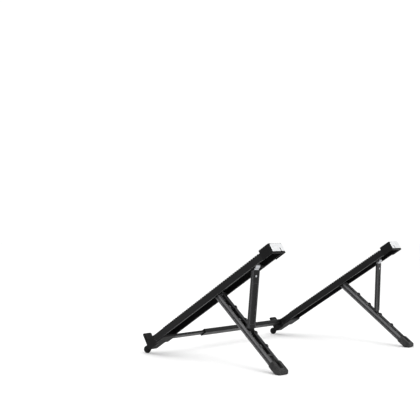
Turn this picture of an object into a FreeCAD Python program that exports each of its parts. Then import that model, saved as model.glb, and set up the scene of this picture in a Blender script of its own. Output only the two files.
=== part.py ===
"""Folding laptop stand: two inclined rails on a telescoping crossbar, a folding leg and a strut under each.

Every piece is modelled in the frame of the member that carries it, then placed in the part's own frame:
X to the user's right, Y from the user to the rear, Z up, origin under the middle of the stand on the table.
    rail frame:  X across the rail, Y up the slope, Z square to the slope; Z = 0 is the flanges' lower edge
    leg frame:   X along the pivot, Y down the leg from the pivot, Z towards the leg's open rear side
    strut frame: X along the pivot, Y down the strut from its pivot, Z towards the rear
The legs and struts are splayed outwards, so their pivots lie slightly askew in the rails.
"""
import FreeCAD, Part
import math
import os
from types import SimpleNamespace

import Sketcher

Vector = FreeCAD.Vector
ACROSS = Vector(1, 0, 0)

DIMENSIONS = {
    # placing
    "tilt": 31.77, "leg_slope": 38.75, "splay": 5.2, "rail_centre": 149.0, "rail_lift": 0.45,
    "origin_back": 127.566,
    # rail channel and what lies on it
    "rail_width": 26.0, "rail_height": 10.0, "rail_wall": 2.2, "rail_roof": 1.8,
    "rail_front": 38.0, "rail_back": 282.0, "rail_edge_round": 1.2,
    "pad_front": 58.0, "pad_back": 262.0, "pad_width": 20.0, "pad_base": 0.8, "rib_height": 0.8,
    "rib_width": 2.0, "rib_pitch": 4.0,
    # front block with its nose and stop lip
    "nose_width": 14.0, "nose_front": 12.0, "shoulder_length": 3.0, "plug_length": 18.0,
    "nose_top": 11.6, "keel": 1.8, "keel_back": 57.0, "lip_depth": 4.0, "lip_top": 24.0, "lip_pad": 1.2,
    "ball_radius": 5.4, "ball_along": 3.7, "ball_up": 3.53, "stem_radius": 3.0, "stem_length": 15.0,
    # crossbar
    "bar_along": 28.5, "bar_up": 8.2, "tube_depth": 12.0, "tube_height": 6.4, "tube_wall": 1.0,
    "tube_seat": 12.0, "tube_reach": 50.0, "bar_depth": 8.6, "bar_height": 3.4, "bar_inner_end": 10.0,
    "slide_gap": 0.1, "bush_length": 10.0, "bush_rim": 1.2, "slide_length": 5.0,
    "screw_radius": 1.1, "screw_head": 2.3, "screw_head_height": 1.4, "screw_spread": 3.5,
    "screw_recess": 0.2, "screw_slot": 0.6,
    # rear cap
    "cap_front": 266.0, "cap_back": 284.0, "cap_wall": 0.9, "cap_top": 13.4,
    "plate_thickness": 1.2, "plate_width": 24.0, "plate_low": 1.2, "plate_high": 12.4,
    "plate_round": 2.5, "slot_width": 2.0, "slot_height": 5.0, "slot_offset": 5.4,
    # pivots
    "leg_pivot_along": 169.7, "leg_pivot_up": 2.5, "leg_pivot_out": 1.7,
    "strut_pivot_along": 245.5, "strut_pivot_up": 2.6, "strut_pivot_out": 3.6,
    "pin_radius": 1.6, "pin_bite": 1.2, "turning_gap": 0.06, "washer_radius": 3.4, "spacer_radius": 2.6,
    "side_gap": 0.15, "skew_gap": 0.4,
    # leg channel: its web faces forwards and down, its open side rearwards and up
    "leg_width": 13.2, "leg_wall": 1.6, "leg_web": 1.5, "leg_front": 4.0, "leg_rear": 4.0,
    "leg_length": 130.0, "fork_length": 8.0, "lobe_radius": 3.2, "lobe_rise": 1.8, "first_lobe": 29.0,
    "notch_pitch": 24.0, "panel_depth": 0.7, "panel_start": 12.0, "panel_end": 118.0,
    "panel_low": 2.2, "panel_high": 1.0,
    "rack_floor": 0.8, "rack_start": 12.0, "rack_end": 113.0, "rib_thickness": 2.0, "rib_rise": 1.6,
    "first_rib": 28.5,
    # shoe at the foot of the leg
    "shoe_width": 14.6, "shoe_start": 127.0, "shoe_tip": 147.2, "shoe_front": 4.7, "shoe_rear": 5.2,
    "shoe_plug_start": 114.0, "shoe_plug_rear": 3.0, "cup_start": 117.0, "cup_end": 140.0,
    "cup_width": 6.4, "cup_floor": 0.5, "shoe_pin_along": 121.0, "shoe_pin_radius": 1.0,
    # strut
    "toe_along": 74.0, "toe_up": 1.2, "toe_radius": 1.9, "toe_width": 9.0, "toe_length": 6.0,
    "strut_width": 12.6, "strut_half": 1.7, "strut_start": 5.0, "recess_depth": 0.6, "recess_width": 7.6,
    "knuckle_radius": 3.8, "knuckle_width": 8.0, "tongue_end": 18.0, "tongue_width": 7.0,
    "tongue_half": 0.6, "rivet_along": 13.0, "rivet_radius": 0.9, "rivet_head": 1.5,
    "rivet_head_height": 0.5,
}
NOTCHES = 4


class Size:
    """A number that remembers the spreadsheet expression it comes from."""

    def __init__(self, value, text):
        self.value = value
        self.text = text

    def joined(self, other, sign, value):
        text = other.text if isinstance(other, Size) else repr(other)
        return Size(value, f"({self.text} {sign} {text})")

    def __add__(self, other):
        return self.joined(other, "+", self.value + number(other))

    def __sub__(self, other):
        return self.joined(other, "-", self.value - number(other))

    def __mul__(self, other):
        return self.joined(other, "*", self.value * number(other))

    def __truediv__(self, other):
        return self.joined(other, "/", self.value / number(other))

    def __neg__(self):
        return Size(-self.value, f"(0 - {self.text})")


def number(size):
    return size.value if isinstance(size, Size) else size


def expression(size):
    return size.text if isinstance(size, Size) else repr(size)


doc = FreeCAD.newDocument("laptop_stand")
sheet = doc.addObject("Spreadsheet::Sheet", "Sizes")
for row, (alias, value) in enumerate(DIMENSIONS.items(), start=1):
    sheet.set(f"A{row}", alias)
    sheet.set(f"B{row}", str(value))
    sheet.setAlias(f"B{row}", alias)
doc.recompute()
d = SimpleNamespace(**{alias: Size(value, f"Sizes.{alias}") for alias, value in DIMENSIONS.items()})

nodes = []


# ---------------------------------------------------------------- sketch and feature helpers
def new_body(label):
    body = doc.addObject("PartDesign::Body", "Body")
    body.Label = label
    return body


def origin_feature(body, role):
    return next(item for item in body.Origin.OriginFeatures if item.Role == role)


def new_sketch(body, plane, offset=0):
    sketch = body.newObject("Sketcher::SketchObject", "Sketch")
    sketch.AttachmentSupport = [(origin_feature(body, plane), "")]
    sketch.MapMode = "FlatFace"
    sketch.setExpression("AttachmentOffset.Base.z", expression(offset))
    return sketch


def hold_point(sketch, line, end, point):
    """Fix one end of a sketch line, or a circle's centre, at a point given by two sizes."""
    for kind, size in zip(("DistanceX", "DistanceY"), point):
        rule = sketch.addConstraint(Sketcher.Constraint(kind, -1, 1, line, end, number(size)))
        sketch.setExpression(f"Constraints[{rule}]", expression(size))


def outline(body, plane, points, offset=0):
    """A closed outline of straight lines through the points."""
    sketch = new_sketch(body, plane, offset)
    places = [Vector(number(x), number(y), 0) for x, y in points]
    for start, end in zip(places, places[1:] + places[:1]):
        sketch.addGeometry(Part.LineSegment(start, end))
    for line in range(len(points)):
        sketch.addConstraint(Sketcher.Constraint("Coincident", line, 2, (line + 1) % len(points), 1))
    for line, point in enumerate(points):
        hold_point(sketch, line, 1, point)
    return sketch


def rectangle(body, plane, low, high, offset=0):
    (x0, y0), (x1, y1) = low, high
    return outline(body, plane, [(x0, y0), (x1, y0), (x1, y1), (x0, y1)], offset)


def circles(body, plane, centres, radius, offset=0):
    sketch = new_sketch(body, plane, offset)
    for index, centre in enumerate(centres):
        place = Vector(number(centre[0]), number(centre[1]), 0)
        sketch.addGeometry(Part.Circle(place, Vector(0, 0, 1), number(radius)))
        hold_point(sketch, index, 3, centre)
        rule = sketch.addConstraint(Sketcher.Constraint("Radius", index, number(radius)))
        sketch.setExpression(f"Constraints[{rule}]", expression(radius))
    return sketch


def extrude(body, kind, sketch, length, both_ways=True, reverse=False):
    feature = body.newObject(f"PartDesign::{kind}", kind)
    feature.Profile = sketch
    feature.SideType = "Symmetric" if both_ways else "One side"
    feature.Reversed = reverse
    feature.setExpression("Length", expression(length))
    return feature


def pad(body, sketch, length, both_ways=True, reverse=False):
    return extrude(body, "Pad", sketch, length, both_ways, reverse)


def pocket(body, sketch, length, both_ways=True, reverse=False):
    """Cut, and make sure that the cut removed something."""
    doc.recompute()
    before = body.Shape.Volume
    feature = extrude(body, "Pocket", sketch, length, both_ways, reverse)
    doc.recompute()
    if body.Shape.Volume > before - 1e-3:
        raise RuntimeError(f"{body.Label}: a pocket cut nothing")
    return feature


def round_edges(body, radius, wanted):
    """Fillet the edges of the body's tip for which wanted(edge) is true."""
    doc.recompute()
    base = body.Tip
    names = [f"Edge{i}" for i, edge in enumerate(base.Shape.Edges, start=1) if wanted(edge)]
    if not names:
        raise RuntimeError(f"{body.Label}: no edge to round")
    fillet = body.newObject("PartDesign::Fillet", "Fillet")
    fillet.Base = (base, names)
    fillet.setExpression("Radius", expression(radius))
    doc.recompute()


def runs_along(edge, direction):
    ends = [vertex.Point for vertex in edge.Vertexes]
    if len(ends) != 2 or edge.Curve.TypeId != "Part::GeomLine":
        return False
    return abs((ends[1] - ends[0]).normalize().dot(direction)) > 0.999


ALONG_X = FreeCAD.Rotation(Vector(0, 1, 0), 90)


def cylinder(radius, start, length):
    """A cylinder along X from x = start."""
    item = doc.addObject("Part::Cylinder", "Cylinder")
    item.setExpression("Radius", expression(radius))
    item.setExpression("Height", expression(length))
    item.Placement = FreeCAD.Placement(Vector(0, 0, 0), ALONG_X)
    item.setExpression("Placement.Base.x", expression(start))
    return item


def moved(item, y, z):
    item.setExpression("Placement.Base.y", expression(y))
    item.setExpression("Placement.Base.z", expression(z))
    return item


def combine(kind, label, shapes):
    """A boolean of several shapes: MultiFuse, or Cut of the second from the first."""
    result = doc.addObject(f"Part::{kind}", kind)
    if kind == "Cut":
        result.Base, result.Tool = shapes
    else:
        result.Shapes = shapes
    result.Label = label
    return result


# ---------------------------------------------------------------- frames and placing
def rail_point(along, up):
    """Y and Z, in the part's own frame, of a point of the rail frame."""
    slope = math.radians(d.tilt.value)
    y = along * math.cos(slope) - up * math.sin(slope) - d.origin_back.value
    z = along * math.sin(slope) + up * math.cos(slope) + d.rail_lift.value
    return y, z


def turned(side, y, z, angle):
    """Placement on one side of the stand, turned about X by angle degrees."""
    x = sign(side) * d.rail_centre.value
    return FreeCAD.Placement(Vector(x, y, z), FreeCAD.Rotation(ACROSS, angle))


def sign(side):
    return 1 if side == "right" else -1


def rail_frame(side):
    return turned(side, *rail_point(0, 0), d.tilt.value)


def middle_frame():
    return FreeCAD.Placement(Vector(0, *rail_point(0, 0)), FreeCAD.Rotation(ACROSS, d.tilt.value))


def pivot_place(side, along, up, out):
    """A point of the rail frame that lies out from the rail's middle plane, in the part's own frame."""
    return Vector(sign(side) * (d.rail_centre + out).value, *rail_point(along.value, up.value))


def splayed(side):
    """Turn about Z that splays a leg outwards."""
    return FreeCAD.Rotation(Vector(0, 0, 1), -sign(side) * d.splay.value)


def leg_frame(side):
    pivot = pivot_place(side, d.leg_pivot_along, d.leg_pivot_up, d.leg_pivot_out)
    return FreeCAD.Placement(pivot, splayed(side).multiply(FreeCAD.Rotation(ACROSS, -d.leg_slope.value)))


def strut_frame(side):
    """From the strut's pivot towards its toe, which lies between the leg's cheeks."""
    pivot = pivot_place(side, d.strut_pivot_along, d.strut_pivot_up, d.strut_pivot_out)
    toe = leg_frame(side).multVec(Vector(0, d.toe_along.value, d.toe_up.value))
    down = (toe - pivot).normalize()
    along_pivot = splayed(side).multVec(ACROSS)
    return FreeCAD.Placement(pivot, FreeCAD.Rotation(along_pivot, down, Vector(), "YXZ"))


def strut_length(side):
    toe = leg_frame(side).multVec(Vector(0, d.toe_along.value, d.toe_up.value))
    return toe.distanceToPoint(strut_frame(side).Base)


STRUT_LENGTH = strut_length("right")


def keep(item, placement):
    """Place a finished sub-part and list it as a node."""
    item.Placement = placement
    nodes.append(item)


# ---------------------------------------------------------------- rail and what is fixed to it
def make_rail(side):
    body = new_body("rail_channel")
    half = d.rail_width / 2
    pad(body, rectangle(body, "YZ_Plane", (d.rail_front, 0), (d.rail_back, d.rail_height)), d.rail_width)
    inside = rectangle(body, "YZ_Plane", (d.rail_front - 1, -1),
                       (d.rail_back + 1, d.rail_height - d.rail_roof))
    pocket(body, inside, (half - d.rail_wall) * 2)
    top = d.rail_height.value

    def outer_top(edge):
        return runs_along(edge, Vector(0, 1, 0)) and abs(edge.BoundBox.ZMin - top) < 0.01
    round_edges(body, d.rail_edge_round, outer_top)
    sockets = []
    for pivot_frame, out in ((leg_frame, d.leg_pivot_out), (strut_frame, d.strut_pivot_out)):
        low, high = pin_span(side, out)
        socket = doc.addObject("Part::Cylinder", "Socket")
        socket.setExpression("Radius", expression(d.pin_radius))
        socket.setExpression("Height", expression(high - low))
        to_rail = rail_frame(side).inverse().multiply(pivot_frame(side))
        socket.Placement = to_rail.multiply(FreeCAD.Placement(Vector(low.value, 0, 0), ALONG_X))
        sockets.append(socket)
    drill = combine("MultiFuse", "pin_sockets", sockets)
    keep(combine("Cut", f"rail_{side}", [body, drill]), rail_frame(side))


def outward(side, low, high):
    """A span along X that is given outwards from the middle of the stand, for this side's own X."""
    return (low, high) if side == "right" else (-high, -low)


def pin_span(side, out):
    """From inside one flange to inside the other, measured from a pivot that lies out from the middle."""
    reach = d.rail_width / 2 - d.rail_wall + d.pin_bite
    return outward(side, -(reach + out), reach - out)


def make_grip_pad(side):
    body = new_body(f"grip_pad_{side}")
    top = d.rail_height + d.pad_base
    pad(body, rectangle(body, "YZ_Plane", (d.pad_front, d.rail_height), (d.pad_back, top)), d.pad_width)
    rib = pad(body, rectangle(body, "YZ_Plane", (d.pad_front, top - 0.1),
                              (d.pad_front + d.rib_width, top + d.rib_height)), d.pad_width)
    count = int((d.pad_back.value - d.pad_front.value - d.rib_width.value) / d.rib_pitch.value) + 1
    pattern = body.newObject("PartDesign::LinearPattern", "Ribs")
    pattern.Originals = [rib]
    pattern.Direction = (origin_feature(body, "Y_Axis"), [""])
    pattern.setExpression("Length", expression(d.rib_pitch * (count - 1)))
    pattern.Occurrences = count
    body.Tip = pattern
    keep(body, rail_frame(side))


def make_front_block(side):
    """Plug in the rail's front end, with the nose, the stop lip and the crossbar's socket."""
    body = new_body(f"front_block_{side}")
    shoulder = d.rail_front - d.shoulder_length
    nose = [(d.nose_front, 1), (d.nose_front + 3, -d.keel), (d.rail_front, -d.keel),
            (d.rail_front, d.rail_height), (shoulder, d.nose_top), (d.nose_front + d.lip_depth, d.nose_top),
            (d.nose_front + d.lip_depth, d.lip_top), (d.nose_front, d.lip_top)]
    pad(body, outline(body, "YZ_Plane", nose), d.nose_width)
    pad(body, rectangle(body, "YZ_Plane", (shoulder, 0), (d.rail_front, d.rail_height)), d.rail_width)
    keel = [(shoulder, 0), (shoulder, -d.keel), (d.keel_back - 2, -d.keel), (d.keel_back, 0)]
    pad(body, outline(body, "YZ_Plane", keel), d.rail_width)
    inside = (d.rail_width / 2 - d.rail_wall) * 2
    plug = rectangle(body, "YZ_Plane", (shoulder, 0),
                     (d.rail_front + d.plug_length, d.rail_height - d.rail_roof))
    pad(body, plug, inside)
    lip_top = d.lip_top.value
    round_edges(body, 1.5, lambda edge: runs_along(edge, ACROSS) and edge.BoundBox.ZMin > lip_top - 0.1)
    nose_front = d.nose_front.value
    nose_edges = (nose_front + 0.01, shoulder.value - 0.5)
    round_edges(body, 1.0, lambda edge: runs_along(edge, Vector(0, 0, 1))
                and edge.BoundBox.YMin < nose_edges[0] and edge.BoundBox.YMax < nose_edges[1])
    # socket for the crossbar, open on the inner side
    depth, height = (d.tube_depth, d.tube_height) if side == "left" else (d.bar_depth, d.bar_height)
    blind_face = (d.nose_width / 2 - d.tube_seat) * -sign(side)
    socket = rectangle(body, "YZ_Plane", (d.bar_along - depth / 2, d.bar_up - height / 2),
                       (d.bar_along + depth / 2, d.bar_up + height / 2), blind_face)
    pocket(body, socket, d.tube_seat + 1, both_ways=False, reverse=(side == "left"))
    # hole for the round foot's stem, and the two screws' holes up into the socket
    stem = circles(body, "XZ_Plane", [(0, d.ball_up)], d.stem_radius, -d.nose_front + 1)
    pocket(body, stem, d.stem_length - d.nose_front + d.ball_along + 1, both_ways=False, reverse=False)
    centres = [(-d.screw_spread, d.bar_along), (d.screw_spread, d.bar_along)]
    pocket(body, circles(body, "XY_Plane", centres, d.screw_head, -d.keel - 1), d.screw_head_height + 1,
           both_ways=False, reverse=True)
    pocket(body, circles(body, "XY_Plane", centres, d.screw_radius, -d.keel), d.bar_up + d.keel,
           both_ways=False, reverse=True)
    keep(body, rail_frame(side))


def make_lip_pad(side):
    body = new_body(f"lip_pad_{side}")
    back = d.nose_front + d.lip_depth
    pad(body, rectangle(body, "YZ_Plane", (back, d.nose_top + 0.6), (back + d.lip_pad, d.lip_top - 2)),
        d.nose_width - 2)
    round_edges(body, 0.5, lambda edge: runs_along(edge, ACROSS) and edge.BoundBox.YMin > back.value + 1)
    keep(body, rail_frame(side))


def make_front_foot(side):
    ball = doc.addObject("Part::Sphere", "Ball")
    ball.setExpression("Radius", expression(d.ball_radius))
    ball.setExpression("Placement.Base.y", expression(d.ball_along))
    ball.setExpression("Placement.Base.z", expression(d.ball_up))
    stem = doc.addObject("Part::Cylinder", "Stem")
    stem.Placement = FreeCAD.Placement(Vector(0, 0, 0), FreeCAD.Rotation(ACROSS, -90))
    stem.setExpression("Radius", expression(d.stem_radius))
    stem.setExpression("Height", expression(d.stem_length))
    moved(stem, d.ball_along, d.ball_up)
    keep(combine("MultiFuse", f"front_foot_{side}", [ball, stem]), rail_frame(side))


def make_rear_cap(side):
    """Collar over the rail's rear end, closed behind and open below."""
    body = new_body(f"rear_cap_{side}")
    low = -d.cap_wall
    pad(body, rectangle(body, "YZ_Plane", (d.cap_front, low), (d.cap_back, d.cap_top)),
        d.rail_width + d.cap_wall * 2)
    pocket(body, rectangle(body, "YZ_Plane", (d.cap_front - 1, low - 1), (d.rail_back, d.rail_height)),
           d.rail_width)
    top = d.cap_top.value
    round_edges(body, 1.5, lambda edge: runs_along(edge, Vector(0, 1, 0))
                and edge.BoundBox.ZMin > top - 0.01)
    keep(body, rail_frame(side))


def make_cap_plate(side):
    """Bright plate on the rear cap, with a slot that opens downwards near the inner side."""
    body = new_body(f"cap_plate_{side}")
    half = d.plate_width / 2
    plate = rectangle(body, "XZ_Plane", (-half, d.plate_low), (half, d.plate_high),
                      -(d.cap_back + d.plate_thickness / 2))
    pad(body, plate, d.plate_thickness)
    high = d.plate_high.value
    round_edges(body, d.plate_round, lambda edge: runs_along(edge, Vector(0, 1, 0))
                and edge.BoundBox.ZMin > high - 0.01)
    middle = d.slot_offset * -sign(side)
    slot = rectangle(body, "XZ_Plane", (middle - d.slot_width / 2, d.plate_low - 1),
                     (middle + d.slot_width / 2, d.plate_low + d.slot_height),
                     -(d.cap_back + d.plate_thickness / 2))
    pocket(body, slot, d.plate_thickness + 1)
    keep(body, rail_frame(side))


# ---------------------------------------------------------------- pivots
def make_axle(label, radius, spans, hole, placement):
    """Cylinders along X, or rings where a hole is given, one for each span."""
    pieces = []
    for low, high in spans:
        piece = cylinder(radius, low, high - low)
        if hole is not None:
            piece = combine("Cut", "Ring", [piece, cylinder(hole, low - 1, high - low + 2)])
        pieces.append(piece)
    if len(pieces) > 1:
        group = doc.addObject("Part::Compound", "Group")
        group.Links = pieces
    else:
        group = combine("MultiFuse", "Axle", [pieces[0], cylinder(radius, spans[0][0], d.pin_bite)])
    group.Label = label
    keep(group, placement)


def make_pivots(side):
    """Pins sunk into the flanges from inside, and rings that keep leg and strut in the middle."""
    flange = d.rail_width / 2 - d.rail_wall
    leg_half = d.leg_width / 2
    cheek = leg_half - d.leg_wall + 0.2
    out = d.leg_pivot_out
    spans = [outward(side, -(flange + out + d.pin_bite), -cheek),
             outward(side, cheek, flange - out + d.pin_bite)]
    make_axle(f"leg_pins_{side}", d.pin_radius, spans, None, leg_frame(side))
    near = leg_half + d.side_gap
    spans = [outward(side, -(flange + out - d.skew_gap), -near),
             outward(side, near, flange - out - d.skew_gap)]
    make_axle(f"leg_washers_{side}", d.washer_radius, spans, d.pin_radius, leg_frame(side))
    out = d.strut_pivot_out
    make_axle(f"strut_pin_{side}", d.pin_radius, [pin_span(side, out)], None, strut_frame(side))
    near = d.knuckle_width / 2 + d.side_gap
    spans = [outward(side, -(flange + out - d.skew_gap), -near),
             outward(side, near, flange - out - d.skew_gap)]
    make_axle(f"strut_spacers_{side}", d.spacer_radius, spans, d.pin_radius, strut_frame(side))


def make_pin(label, radius, length, place, placement):
    """A plain pin along X, centred on the member it passes through."""
    body = new_body(label)
    pad(body, circles(body, "YZ_Plane", [place], radius), length)
    keep(body, placement)


# ---------------------------------------------------------------- crossbar
def make_crossbar():
    frame = middle_frame()
    half_width = d.nose_width / 2
    tube_start = -(d.rail_centre - half_width) - d.tube_seat
    low = (d.bar_along - d.tube_depth / 2, d.bar_up - d.tube_height / 2)
    high = (d.bar_along + d.tube_depth / 2, d.bar_up + d.tube_height / 2)
    inner_low = (low[0] + d.tube_wall, low[1] + d.tube_wall)
    inner_high = (high[0] - d.tube_wall, high[1] - d.tube_wall)
    gap = d.slide_gap
    bar_low = (d.bar_along - d.bar_depth / 2, d.bar_up - d.bar_height / 2)
    bar_high = (d.bar_along + d.bar_depth / 2, d.bar_up + d.bar_height / 2)

    def long_edges(body, radius):
        round_edges(body, radius, lambda edge: runs_along(edge, ACROSS))

    tube = new_body("outer_tube")
    pad(tube, rectangle(tube, "YZ_Plane", low, high, tube_start), d.tube_reach - tube_start, both_ways=False)
    long_edges(tube, 1.0)
    pocket(tube, rectangle(tube, "YZ_Plane", inner_low, inner_high, tube_start - 1),
           d.tube_reach - tube_start + 2, both_ways=False, reverse=True)
    for offset in (-d.screw_spread, d.screw_spread):
        centre = [(offset - d.rail_centre, d.bar_along)]
        pocket(tube, circles(tube, "XY_Plane", centre, d.screw_radius), d.bar_up,
               both_ways=False, reverse=True)
    keep(tube, frame)

    bush = new_body("tube_bush")
    pad(bush, rectangle(bush, "YZ_Plane", inner_low, inner_high, d.tube_reach - d.bush_length),
        d.bush_length, both_ways=False)
    pad(bush, rectangle(bush, "YZ_Plane", low, high, d.tube_reach), d.bush_rim, both_ways=False)
    hole = rectangle(bush, "YZ_Plane", (bar_low[0] - gap, bar_low[1] - gap),
                     (bar_high[0] + gap, bar_high[1] + gap), d.tube_reach - d.bush_length - 1)
    pocket(bush, hole, d.bush_length + d.bush_rim + 2, both_ways=False, reverse=True)
    keep(bush, frame)

    bar = new_body("inner_bar")
    bar_end = d.rail_centre - half_width + d.tube_seat
    pad(bar, rectangle(bar, "YZ_Plane", bar_low, bar_high, d.bar_inner_end), bar_end - d.bar_inner_end,
        both_ways=False)
    centres = [(d.rail_centre - d.screw_spread, d.bar_along), (d.rail_centre + d.screw_spread, d.bar_along)]
    pocket(bar, circles(bar, "XY_Plane", centres, d.screw_radius), d.bar_up, both_ways=False, reverse=True)
    keep(bar, frame)

    block = new_body("slide_block")
    pad(block, rectangle(block, "YZ_Plane", (inner_low[0] + gap, inner_low[1] + gap),
                         (inner_high[0] - gap, inner_high[1] - gap), d.bar_inner_end - d.slide_length),
        d.slide_length, both_ways=False)
    long_edges(block, 0.6)
    keep(block, frame)


def make_block_screws(side):
    """Two screws, driven up into the crossbar from under the nose."""
    screws = []
    for offset in (-d.screw_spread, d.screw_spread):
        head = doc.addObject("Part::Cylinder", "Head")
        head.setExpression("Radius", expression(d.screw_head))
        head.setExpression("Height", expression(d.screw_head_height - d.screw_recess))
        shank = doc.addObject("Part::Cylinder", "Shank")
        shank.setExpression("Radius", expression(d.screw_radius))
        shank.setExpression("Height", expression(d.bar_up + d.keel - d.screw_recess - 0.3))
        slot = doc.addObject("Part::Box", "Slot")
        slot.setExpression("Length", expression(d.screw_head * 2))
        slot.setExpression("Width", expression(d.screw_slot))
        slot.setExpression("Height", expression(d.screw_recess + d.screw_slot))
        for item in (head, shank):
            item.setExpression("Placement.Base.x", expression(offset))
            moved(item, d.bar_along, d.screw_recess - d.keel)
        slot.setExpression("Placement.Base.x", expression(offset - d.screw_head))
        moved(slot, d.bar_along - d.screw_slot / 2, -d.keel)
        solid = combine("MultiFuse", "Screw", [head, shank])
        screws.append(combine("Cut", "SlottedScrew", [solid, slot]))
    pair = doc.addObject("Part::Compound", "Screws")
    pair.Links = screws
    pair.Label = f"block_screws_{side}"
    keep(pair, rail_frame(side))


# ---------------------------------------------------------------- leg
def make_leg(side):
    """Channel with a forked top that pivots on the rail's stub pins."""
    body = new_body(f"leg_{side}")
    profile = rectangle(body, "YZ_Plane", (0, -d.leg_front), (d.leg_length, d.leg_rear))
    pad(body, profile, d.leg_width)
    pad(body, circles(body, "YZ_Plane", [(0, 0)], d.leg_front), d.leg_width)
    lobe_height = d.leg_rear + d.lobe_rise - d.lobe_radius
    lobes = [(d.first_lobe + d.notch_pitch * step, lobe_height) for step in range(NOTCHES)]
    pad(body, circles(body, "YZ_Plane", lobes, d.lobe_radius), d.leg_width)
    # the corner behind the pivot is cut back so that it turns inside the rail
    behind = -d.leg_front - 1
    corner = [(behind, 0), (-d.leg_front, 0), (-d.leg_front + 1, d.leg_rear - 1), (0, d.leg_rear),
              (0, d.leg_rear + 1), (behind, d.leg_rear + 1)]
    pocket(body, outline(body, "YZ_Plane", corner), d.leg_width + 2)
    inside = d.leg_width - d.leg_wall * 2
    above = d.leg_rear + d.lobe_rise + 1
    pocket(body, rectangle(body, "YZ_Plane", (behind, -d.leg_front - 1), (d.fork_length, above)), inside)
    pocket(body, rectangle(body, "YZ_Plane", (d.fork_length - 1, d.leg_web - d.leg_front),
                           (d.leg_length + 1, above)), inside)
    pocket(body, circles(body, "YZ_Plane", [(0, 0)], d.pin_radius + d.turning_gap), d.leg_width + 2)
    pocket(body, circles(body, "YZ_Plane", [(d.shoe_pin_along, 0)], d.shoe_pin_radius), d.leg_width + 2)
    for face in (1, -1):
        panel = rectangle(body, "YZ_Plane", (d.panel_start, d.panel_low - d.leg_front),
                          (d.panel_end, d.panel_high), (d.leg_width / 2 - d.panel_depth) * face)
        pocket(body, panel, d.panel_depth + 1, both_ways=False, reverse=(face > 0))
    keep(body, leg_frame(side))


def make_notch_rack(side):
    """Insert on the channel's floor whose cross ribs hold the strut's toe."""
    body = new_body(f"notch_rack_{side}")
    floor = d.leg_web - d.leg_front
    inside = d.leg_width - d.leg_wall * 2
    pad(body, rectangle(body, "YZ_Plane", (d.rack_start, floor), (d.rack_end, floor + d.rack_floor)), inside)
    for step in range(NOTCHES):
        start = d.first_rib + d.notch_pitch * step
        rib = [(start, floor), (start + d.rib_thickness + 2, floor), (start + d.rib_thickness, d.rib_rise),
               (start, d.rib_rise)]
        pad(body, outline(body, "YZ_Plane", rib), inside)
    keep(body, leg_frame(side))


def make_leg_shoe(side):
    """Rubber shoe plugged into the channel's end, with a flat sole on the table and a hollow behind."""
    body = new_body(f"leg_shoe_{side}")
    slope = math.radians(d.leg_slope.value)
    pivot_height = leg_frame(side).Base.z

    def on_table(up):
        """How far down the leg a line at this height from its axis meets the table."""
        return (pivot_height + up * math.cos(slope)) / math.sin(slope)
    front = -d.shoe_front.value
    heel = -0.4
    tip = [(d.shoe_start, -d.shoe_front), (on_table(front), -d.shoe_front), (on_table(heel), heel),
           (d.shoe_tip, 1.8), (d.shoe_tip - 2.5, d.shoe_rear), (d.shoe_start + 2, d.shoe_rear),
           (d.shoe_start, d.shoe_rear - 1)]
    pad(body, outline(body, "YZ_Plane", tip), d.shoe_width)
    for face in (1, -1):
        wall = rectangle(body, "YZ_Plane", (d.shoe_start - 1, -d.leg_front),
                         (d.leg_length, d.leg_rear), (d.leg_width / 2 - d.leg_wall) * face)
        pocket(body, wall, d.leg_wall, both_ways=False, reverse=(face > 0))
    web = rectangle(body, "YZ_Plane", (d.shoe_start - 1, -d.leg_front),
                    (d.leg_length, d.leg_web - d.leg_front))
    pocket(body, web, d.leg_width)
    plug = rectangle(body, "YZ_Plane", (d.shoe_plug_start, d.leg_web - d.leg_front),
                     (d.leg_length, d.shoe_plug_rear))
    pad(body, plug, d.leg_width - d.leg_wall * 2)
    cup = rectangle(body, "YZ_Plane", (d.cup_start, d.cup_floor), (d.cup_end, d.shoe_rear + 1))
    pocket(body, cup, d.cup_width)
    pocket(body, circles(body, "YZ_Plane", [(d.shoe_pin_along, 0)], d.shoe_pin_radius), d.leg_width + 2)
    keep(body, leg_frame(side))
    make_pin(f"shoe_pin_{side}", d.shoe_pin_radius, d.leg_width + 0.4, (d.shoe_pin_along, 0),
             leg_frame(side))


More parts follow.
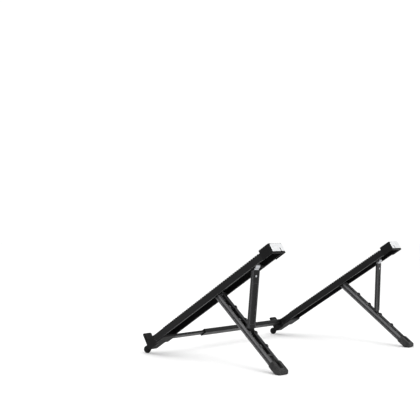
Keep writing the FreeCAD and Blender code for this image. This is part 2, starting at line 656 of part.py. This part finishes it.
# ---------------------------------------------------------------- strut
def make_strut(side):
    frame = strut_frame(side)
    bar_end = STRUT_LENGTH - d.toe_length.value
    bar = new_body(f"strut_{side}")
    pad(bar, rectangle(bar, "YZ_Plane", (d.strut_start, -d.strut_half), (bar_end, d.strut_half)),
        d.strut_width)
    for face in (1, -1):
        recess = rectangle(bar, "XY_Plane", (-d.recess_width / 2, d.tongue_end + 4),
                           (d.recess_width / 2, bar_end - 5), (d.strut_half - d.recess_depth) * face)
        pocket(bar, recess, d.recess_depth + 1, both_ways=False, reverse=(face > 0))
    slot = rectangle(bar, "YZ_Plane", (d.strut_start - 1, -d.tongue_half), (d.tongue_end, d.tongue_half))
    pocket(bar, slot, d.tongue_width)
    pocket(bar, circles(bar, "XY_Plane", [(0, d.rivet_along)], d.rivet_radius), d.strut_half * 2 + 2)
    keep(bar, frame)

    knuckle = new_body(f"strut_knuckle_{side}")
    pad(knuckle, circles(knuckle, "YZ_Plane", [(0, 0)], d.knuckle_radius), d.knuckle_width)
    pad(knuckle, rectangle(knuckle, "YZ_Plane", (0, -d.strut_half), (d.strut_start, d.strut_half)),
        d.knuckle_width)
    pad(knuckle, rectangle(knuckle, "YZ_Plane", (d.strut_start - 1, -d.tongue_half),
                           (d.tongue_end, d.tongue_half)), d.tongue_width)
    pocket(knuckle, circles(knuckle, "YZ_Plane", [(0, 0)], d.pin_radius + d.turning_gap), d.strut_width + 2)
    pocket(knuckle, circles(knuckle, "XY_Plane", [(0, d.rivet_along)], d.rivet_radius), d.strut_half * 2 + 2)
    keep(knuckle, frame)

    rivet = new_body(f"strut_rivet_{side}")
    pad(rivet, circles(rivet, "XY_Plane", [(0, d.rivet_along)], d.rivet_radius), d.strut_half * 2)
    for face in (1, -1):
        head = circles(rivet, "XY_Plane", [(0, d.rivet_along)], d.rivet_head, d.strut_half * face)
        pad(rivet, head, d.rivet_head_height, both_ways=False, reverse=(face < 0))
    round_edges(rivet, 0.3, lambda edge: edge.BoundBox.ZLength < 0.01
                and abs(abs(edge.BoundBox.ZMin) - d.strut_half.value - d.rivet_head_height.value) < 0.01)
    keep(rivet, frame)

    toe = new_body(f"strut_toe_{side}")
    pad(toe, circles(toe, "YZ_Plane", [(STRUT_LENGTH, 0)], d.toe_radius), d.toe_width)
    pad(toe, rectangle(toe, "YZ_Plane", (bar_end, -d.strut_half), (STRUT_LENGTH, d.strut_half)), d.toe_width)
    keep(toe, frame)


for each_side in ("left", "right"):
    make_rail(each_side)
    make_grip_pad(each_side)
    make_front_block(each_side)
    make_lip_pad(each_side)
    make_front_foot(each_side)
    make_rear_cap(each_side)
    make_cap_plate(each_side)
    make_pivots(each_side)
    make_block_screws(each_side)
    make_leg(each_side)
    make_notch_rack(each_side)
    make_leg_shoe(each_side)
    make_strut(each_side)
make_crossbar()

doc.recompute()
for item in doc.Objects:
    if "Invalid" in item.State or "Error" in item.State:
        raise RuntimeError(f"{item.Label} ({item.Name}) failed: {item.State}")
os.makedirs("parts", exist_ok=True)
for item in nodes:
    if item.Shape.isNull() or not item.Shape.isValid():
        raise RuntimeError(f"{item.Label} has no valid shape")
    item.Shape.exportStep(f"parts/{item.Label}.step")

whole = Part.makeCompound([item.Shape for item in nodes]).BoundBox
print(f"{len(nodes)} nodes, box {whole}")
for item in (leg_frame("right"), strut_frame("right")):
    print(f"pivot {item.Base}, axis {item.Rotation.multVec(ACROSS)}")
print(f"strut length {STRUT_LENGTH:.2f}")
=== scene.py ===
"""Looks of the folding laptop stand: surface finishes, rounded edges, light and camera."""

import math

import bpy
from mathutils import Matrix, Vector

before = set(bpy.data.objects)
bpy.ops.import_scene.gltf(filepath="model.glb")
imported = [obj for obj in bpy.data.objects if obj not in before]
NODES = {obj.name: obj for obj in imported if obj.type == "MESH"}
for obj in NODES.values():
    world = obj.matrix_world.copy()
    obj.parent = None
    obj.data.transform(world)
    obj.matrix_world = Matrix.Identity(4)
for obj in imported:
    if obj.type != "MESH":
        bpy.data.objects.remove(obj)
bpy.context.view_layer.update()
SIDES = ("left", "right")
# slope of the rails, slope of the legs below the level, and how far the legs are turned outwards
SLOPE = math.radians(31.77)
LEG_SLOPE = math.radians(38.75)
SPLAY = math.radians(5.2)
MM = 0.001
BAND_FADE = 0.2 * MM


# ---------------------------------------------------------------- material building blocks
class Graph:
    """A material's node tree with short calls for the few nodes that the finishes share."""

    def __init__(self, name):
        self.material = bpy.data.materials.new(name)
        self.material.use_nodes = True
        self.tree = self.material.node_tree
        self.tree.nodes.clear()
        self.output = self.node("ShaderNodeOutputMaterial")
        self.shader = self.node("ShaderNodeBsdfPrincipled")
        self.link(self.shader.outputs["BSDF"], self.output.inputs["Surface"])
        self.place = self.node("ShaderNodeTexCoord").outputs["Object"]

    def node(self, kind, **settings):
        made = self.tree.nodes.new(kind)
        for key, value in settings.items():
            setattr(made, key, value)
        return made

    def link(self, source, target):
        self.tree.links.new(source, target)

    def feed(self, socket, value):
        """Link a node's output into the socket, or set the socket to a number or colour."""
        if isinstance(value, bpy.types.NodeSocket):
            self.link(value, socket)
        else:
            socket.default_value = value

    def coordinates(self, turn, stretch):
        """The object's own coordinates, turned and then stretched."""
        mapping = self.node("ShaderNodeMapping")
        mapping.inputs["Rotation"].default_value = turn
        mapping.inputs["Scale"].default_value = stretch
        self.link(self.place, mapping.inputs["Vector"])
        return mapping.outputs["Vector"]

    def noise(self, scale, detail=3.0, where=None):
        noise = self.node("ShaderNodeTexNoise")
        noise.inputs["Scale"].default_value = scale
        noise.inputs["Detail"].default_value = detail
        noise.inputs["Roughness"].default_value = 0.55
        self.link(where or self.place, noise.inputs["Vector"])
        return noise.outputs["Fac"]

    def ramp(self, value, low, high, start=0.3, end=0.7):
        """value between start and end spread over low to high; low and high are numbers."""
        node = self.node("ShaderNodeMapRange")
        for name, number in (("From Min", start), ("From Max", end), ("To Min", low), ("To Max", high)):
            node.inputs[name].default_value = number
        self.link(value, node.inputs["Value"])
        return node.outputs["Result"]

    def blend(self, share, first, second):
        """The first colour where share is 0, the second where it is 1."""
        node = self.node("ShaderNodeMix", data_type="RGBA")
        self.feed(node.inputs["Factor"], share)
        self.feed(node.inputs["A"], first)
        self.feed(node.inputs["B"], second)
        return node.outputs["Result"]

    def maths(self, operation, first, second):
        node = self.node("ShaderNodeMath", operation=operation)
        self.feed(node.inputs[0], first)
        self.feed(node.inputs[1], second)
        return node.outputs["Value"]

    def edges(self, width):
        """1 at sharp edges, falling to 0 away from them."""
        bevel = self.node("ShaderNodeBevel", samples=6)
        bevel.inputs["Radius"].default_value = width
        flat = self.node("ShaderNodeNewGeometry").outputs["Normal"]
        product = self.node("ShaderNodeVectorMath", operation="DOT_PRODUCT")
        self.link(bevel.outputs["Normal"], product.inputs[0])
        self.link(flat, product.inputs[1])
        return self.ramp(product.outputs["Value"], 1.0, 0.0, 0.78, 0.99)

    def height(self, direction, start):
        """Distance along a direction from a point.

        Both are given for the right side and mirrored to the left."""
        parts = self.node("ShaderNodeSeparateXYZ")
        self.link(self.place, parts.inputs["Vector"])
        total = self.maths("MULTIPLY", self.maths("ABSOLUTE", parts.outputs["X"], 0.0), direction[0])
        for axis, share in zip("YZ", direction[1:]):
            total = self.maths("ADD", total, self.maths("MULTIPLY", parts.outputs[axis], share))
        return self.maths("SUBTRACT", total, Vector(direction).dot(Vector(start)))

    def bump(self, height, distance, strength=1.0, under=None):
        node = self.node("ShaderNodeBump")
        node.inputs["Distance"].default_value = distance
        node.inputs["Strength"].default_value = strength
        self.link(height, node.inputs["Height"])
        if under is not None:
            self.link(under, node.inputs["Normal"])
        return node.outputs["Normal"]


def tint(colour, factor=1.0):
    """The colour made brighter or darker, with its alpha."""
    return (*[min(1.0, c * factor) for c in colour], 1.0)


def metal_finish(name, colour, rough, turn, specular, edge_scuff_and_highlight, edge_scuff_and_highlight_share=0.5, edge=0.35, height=None, highlight_bands=(),
                 highlight_band_colour=(0.05, 0.05, 0.052)):
    """Anodised metal: fine drawn lines along the piece, cloudy sheen, lighter edges that are partly
    scuffed metal and partly a painted highlight.

    Each band is a painted highlight: a lighter line along the piece where light catches its ridges and
    raised edges, from low to high in metres of the given height."""
    g = Graph(name)
    along = g.coordinates(turn, (1.0, 0.02, 1.0))
    lines = g.noise(2600, 2.0, along)
    clouds = g.noise(38, 4.0)
    specks = g.noise(900, 2.0)
    base = g.blend(g.ramp(clouds, 0.0, 1.0), tint(colour, 0.75), tint(colour, 1.3))
    base = g.blend(g.ramp(lines, 0.0, 0.35), base, tint(colour, 1.9))
    # painted highlight: each band lightens a line along the piece, as light caught on a ridge
    for low, high in highlight_bands:
        level = g.height(*height)
        highlight_band = g.maths("MULTIPLY", g.ramp(level, 0.0, 1.0, low - BAND_FADE, low + BAND_FADE),
                        g.ramp(level, 1.0, 0.0, high - BAND_FADE, high + BAND_FADE))
        highlight_band = g.maths("MULTIPLY", highlight_band, g.ramp(clouds, 0.55, 1.0))
        base = g.blend(highlight_band, base, tint(highlight_band_colour))
    # lighter edges: partly scuffing, partly a painted highlight where the edges catch the light
    scuffed_and_lit_edges = g.maths("MULTIPLY", g.edges(edge * MM), g.ramp(specks, 0.1, edge_scuff_and_highlight_share, 0.35, 0.65))
    base = g.blend(scuffed_and_lit_edges, base, tint(edge_scuff_and_highlight))
    g.link(base, g.shader.inputs["Base Color"])
    roughness = g.maths("ADD", g.ramp(clouds, rough - 0.06, rough + 0.08), g.ramp(lines, -0.06, 0.06))
    g.link(roughness, g.shader.inputs["Roughness"])
    g.shader.inputs["Specular IOR Level"].default_value = specular
    normal = g.bump(lines, 0.02 * MM, 0.35)
    g.link(g.bump(specks, 0.02 * MM, 0.25, normal), g.shader.inputs["Normal"])
    return g.material


def moulded_finish(name, colour, rough, specular, edge_scuff_and_highlight):
    """Moulded plastic: spark-eroded grain, glossier edges whose lighter colour is partly scuffing and
    partly a painted highlight.
    """
    g = Graph(name)
    grain_height = g.noise(1500, 3.0)
    clouds = g.noise(55, 3.0)
    base = g.blend(g.ramp(clouds, 0.0, 1.0), tint(colour, 0.7), tint(colour, 1.4))
    base = g.blend(g.ramp(grain_height, 0.0, 0.3), base, tint(colour, 2.2))
    # lighter, glossier edges: the colour is partly scuffing, partly a painted highlight
    scuffed_and_lit_edges = g.maths("MULTIPLY", g.edges(0.3 * MM), g.ramp(clouds, 0.15, 0.6))
    base = g.blend(scuffed_and_lit_edges, base, tint(edge_scuff_and_highlight))
    g.link(base, g.shader.inputs["Base Color"])
    roughness = g.maths("SUBTRACT", g.ramp(grain_height, rough - 0.05, rough + 0.1),
                        g.maths("MULTIPLY", scuffed_and_lit_edges, 0.2))
    g.link(roughness, g.shader.inputs["Roughness"])
    g.shader.inputs["Specular IOR Level"].default_value = specular
    g.link(g.bump(grain_height, 0.05 * MM, 0.5), g.shader.inputs["Normal"])
    return g.material


def rubber_finish(name, colour, rough, dust_and_edge_highlight):
    """Rubber: dull, finely pebbled, with pale dusting in the pores and lighter edges that are a painted
    highlight.
    """
    g = Graph(name)
    pores = g.node("ShaderNodeTexVoronoi", feature="F1")
    pores.inputs["Scale"].default_value = 1400
    g.link(g.place, pores.inputs["Vector"])
    pebble = pores.outputs["Distance"]
    clouds = g.noise(90, 4.0)
    base = g.blend(g.ramp(clouds, 0.0, 1.0), tint(colour, 0.75), tint(colour, 1.35))
    dusty = g.maths("MULTIPLY", g.ramp(pebble, 0.0, 0.35, 0.35, 0.8), g.ramp(clouds, 0.1, 1.0))
    base = g.blend(dusty, base, tint(dust_and_edge_highlight))
    # painted highlight: the edges lightened toward the pale pore colour
    base = g.blend(g.maths("MULTIPLY", g.edges(0.5 * MM), 0.35), base, tint(dust_and_edge_highlight))
    g.link(base, g.shader.inputs["Base Color"])
    g.link(g.ramp(clouds, rough - 0.08, rough + 0.08), g.shader.inputs["Roughness"])
    g.shader.inputs["Specular IOR Level"].default_value = 0.15
    g.link(g.bump(pebble, 0.06 * MM, 0.4), g.shader.inputs["Normal"])
    return g.material


def bright_finish(name, colour, rough, turn, stretch):
    """Bare or satin metal with brushing along one direction and faint smudges."""
    g = Graph(name)
    along = g.coordinates(turn, stretch)
    lines = g.noise(3200, 3.0, along)
    smudges = g.noise(140, 3.0)
    base = g.blend(g.ramp(lines, 0.0, 1.0), tint(colour, 0.82), tint(colour, 1.08))
    base = g.blend(g.ramp(smudges, 0.0, 0.3, 0.5, 0.75), base, tint(colour, 0.62))
    g.link(base, g.shader.inputs["Base Color"])
    roughness = g.maths("ADD", g.ramp(lines, rough - 0.06, rough + 0.06),
                        g.ramp(smudges, 0.0, 0.12, 0.45, 0.7))
    g.link(roughness, g.shader.inputs["Roughness"])
    g.shader.inputs["Metallic"].default_value = 1.0
    g.link(g.bump(lines, 0.02 * MM, 0.3), g.shader.inputs["Normal"])
    return g.material


# the right leg's pivot and the direction of its open rear side, the right strut's pivot and pivot axis
LEG_PIVOT = (0.1507, 0.01539, 0.09192)
LEG_REAR = (math.sin(SPLAY) * math.sin(LEG_SLOPE), math.cos(SPLAY) * math.sin(LEG_SLOPE),
            math.cos(LEG_SLOPE))
STRUT_PIVOT = (0.1526, 0.07978, 0.13192)
STRUT_ACROSS = (0.9951, -0.0874, 0.0459)
# turns that lay a texture's lines along a piece
ALONG_RAIL = (-SLOPE, 0, 0)
ALONG_LEG = (LEG_SLOPE, 0, 0)
ALONG_STRUT = (math.radians(92.5), 0, 0)
ALONG_BAR = (0, 0, math.radians(90))

# the edge colours of the metals are partly scuffing and partly a painted highlight on the edges
RAIL_METAL = metal_finish("rail_black_anodised", (0.004, 0.0041, 0.0043), 0.42, ALONG_RAIL, specular=0.12,
                          edge_scuff_and_highlight=(0.3, 0.3, 0.305), edge_scuff_and_highlight_share=0.9, edge=0.5)
BAR_METAL = metal_finish("bar_black_anodised", (0.004, 0.0041, 0.0043), 0.36, ALONG_BAR, specular=0.14,
                         edge_scuff_and_highlight=(0.08, 0.08, 0.082))
# each band of the leg is a painted highlight along a ridge of its side panel
LEG_METAL = metal_finish("leg_charcoal_anodised", (0.012, 0.0122, 0.013), 0.3, ALONG_LEG, specular=0.3,
                         edge_scuff_and_highlight=(0.5, 0.5, 0.51), edge_scuff_and_highlight_share=1.0, edge=0.5, height=(LEG_REAR, LEG_PIVOT),
                         highlight_bands=((1.2 * MM, 3.6 * MM), (-3.8 * MM, -2.4 * MM)),
                         highlight_band_colour=(0.12, 0.12, 0.125))
# each band of the strut is a painted highlight along one of its raised side edges
STRUT_METAL = metal_finish("strut_black_anodised", (0.004, 0.0041, 0.0044), 0.4, ALONG_STRUT,
                           specular=0.15, edge_scuff_and_highlight=(0.3, 0.3, 0.31), edge_scuff_and_highlight_share=0.9, edge=0.5,
                           height=(STRUT_ACROSS, STRUT_PIVOT),
                           highlight_bands=((-6.3 * MM, -4.6 * MM), (4.6 * MM, 6.3 * MM)),
                           highlight_band_colour=(0.035, 0.035, 0.037))
BLOCK_PLASTIC = moulded_finish("block_black_plastic", (0.003, 0.003, 0.0032), 0.5, specular=0.1,
                               edge_scuff_and_highlight=(0.04, 0.04, 0.04))
RACK_PLASTIC = moulded_finish("rack_black_plastic", (0.003, 0.003, 0.0032), 0.55, specular=0.1,
                              edge_scuff_and_highlight=(0.03, 0.03, 0.03))
GRIP_RUBBER = rubber_finish("grip_black_rubber", (0.008, 0.008, 0.008), 0.75, (0.05, 0.05, 0.048))
SHOE_RUBBER = rubber_finish("shoe_black_rubber", (0.01, 0.01, 0.0105), 0.6, (0.2, 0.2, 0.196))
BALL_RUBBER = rubber_finish("ball_black_rubber", (0.003, 0.003, 0.0032), 0.65, (0.02, 0.02, 0.019))
BRIGHT_STEEL = bright_finish("pin_steel", (0.45, 0.46, 0.48), 0.34, (0, 0, 0), (0.05, 1.0, 1.0))
DARK_STEEL = bright_finish("pin_blackened_steel", (0.05, 0.05, 0.052), 0.4, (0, 0, 0), (0.05, 1.0, 1.0))
CAP_METAL = bright_finish("cap_satin_aluminium", (0.84, 0.85, 0.86), 0.3, ALONG_RAIL, (0.03, 1.0, 1.0))

LOOKS = {
    "rail": RAIL_METAL, "outer_tube": BAR_METAL, "inner_bar": BAR_METAL,
    "leg": LEG_METAL, "strut": STRUT_METAL,
    "front_block": BLOCK_PLASTIC, "rear_cap": BLOCK_PLASTIC,
    "notch_rack": RACK_PLASTIC, "tube_bush": RACK_PLASTIC, "slide_block": RACK_PLASTIC,
    "strut_toe": RACK_PLASTIC, "leg_washers": RACK_PLASTIC, "strut_spacers": RACK_PLASTIC,
    "grip_pad": GRIP_RUBBER, "lip_pad": GRIP_RUBBER, "front_foot": BALL_RUBBER, "leg_shoe": SHOE_RUBBER,
    "cap_plate": CAP_METAL, "strut_knuckle": BRIGHT_STEEL, "strut_rivet": BRIGHT_STEEL,
    "leg_pins": BRIGHT_STEEL, "strut_pin": BRIGHT_STEEL,
    "block_screws": DARK_STEEL, "shoe_pin": DARK_STEEL,
}
# bevel widths in millimetres
SMALL_ROUND = 0.15
EDGE_ROUND = {"rail": 0.3, "leg": 0.35, "strut": 0.35, "leg_shoe": 0.9, "grip_pad": 0.3, "lip_pad": 0.2,
              "front_block": 0.4, "rear_cap": 0.4, "cap_plate": 0.25, "outer_tube": 0.15, "inner_bar": 0.3}


def kind_of(node):
    """The node's name without its side."""
    return node.rsplit("_", 1)[0] if node.endswith(SIDES) else node


def soften(obj, width):
    """Round the sharp edges of a CAD node by a small radius, so that they catch the light."""
    weld = obj.modifiers.new("Weld", "WELD")
    weld.merge_threshold = 1e-6
    flat = obj.modifiers.new("Flat faces", "DECIMATE")
    flat.decimate_type = "DISSOLVE"
    flat.angle_limit = math.radians(0.5)
    bevel = obj.modifiers.new("Edge round", "BEVEL")
    bevel.width = width
    bevel.segments = 2
    bevel.limit_method = "ANGLE"
    bevel.angle_limit = math.radians(35)
    bevel.use_clamp_overlap = True
    shade = obj.modifiers.new("Shading", "WEIGHTED_NORMAL")
    shade.keep_sharp = False
    shade.weight = 80


for node_name, node in NODES.items():
    node.data.materials.clear()
    node.data.materials.append(LOOKS[kind_of(node_name)])
    for face in node.data.polygons:
        face.use_smooth = True
    soften(node, EDGE_ROUND.get(kind_of(node_name), SMALL_ROUND) * MM)


# ---------------------------------------------------------------- stage, light and camera
def add_area(name, place, target, size, power):
    data = bpy.data.lights.new(name, "AREA")
    data.shape = "RECTANGLE"
    data.size, data.size_y = size
    data.energy = power
    lamp = bpy.data.objects.new(name, data)
    lamp.location = place
    aim = Vector(target) - Vector(place)
    lamp.rotation_euler = aim.to_track_quat("-Z", "Y").to_euler()
    bpy.context.scene.collection.objects.link(lamp)


FLOOR_REACH = 14.0
floor_mesh = bpy.data.meshes.new("floor")
corners = [(x * FLOOR_REACH, y * FLOOR_REACH, 0) for x, y in ((-1, -1), (1, -1), (1, 1), (-1, 1))]
floor_mesh.from_pydata(corners, [], [(0, 1, 2, 3)])
floor = bpy.data.objects.new("floor", floor_mesh)
bpy.context.scene.collection.objects.link(floor)
pale = Graph("pale_floor")
pale.link(pale.blend(pale.noise(6, 2.0), (0.955, 0.955, 0.955, 1), (0.975, 0.975, 0.975, 1)),
          pale.shader.inputs["Base Color"])
pale.shader.inputs["Roughness"].default_value = 0.9
pale.shader.inputs["Specular IOR Level"].default_value = 0.1
floor_mesh.materials.append(pale.material)

world = bpy.data.worlds.new("studio")
world.use_nodes = True
world.node_tree.nodes["Background"].inputs["Color"].default_value = (1, 1, 1, 1)
world.node_tree.nodes["Background"].inputs["Strength"].default_value = 1.06
bpy.context.scene.world = world
bpy.context.scene.view_settings.view_transform = "Standard"

add_area("key", (0.5, 1.6, 1.5), (0, 0.05, 0.08), (1.2, 0.8), 14)
add_area("side", (1.8, 0.1, 0.7), (0, 0.0, 0.08), (0.8, 0.8), 4)

CAMERA_PLACE = (0.9433, 0.719934, 0.17248)
CAMERA_BACK = (0.7389, 0.6728, -0.0361)
camera_data = bpy.data.cameras.new("camera")
camera_data.sensor_width = 36.0
camera_data.lens = 67.70
camera_data.shift_y = -0.0101
camera_data.clip_start = 0.05
camera_data.clip_end = 60.0
camera = bpy.data.objects.new("camera", camera_data)
back = Vector(CAMERA_BACK).normalized()
across = Vector((0, 0, 1)).cross(back).normalized()
up = back.cross(across)
turn = Matrix((across, up, back)).transposed()
camera.matrix_world = Matrix.Translation(CAMERA_PLACE) @ turn.to_4x4()
bpy.context.scene.collection.objects.link(camera)
bpy.context.scene.camera = camera
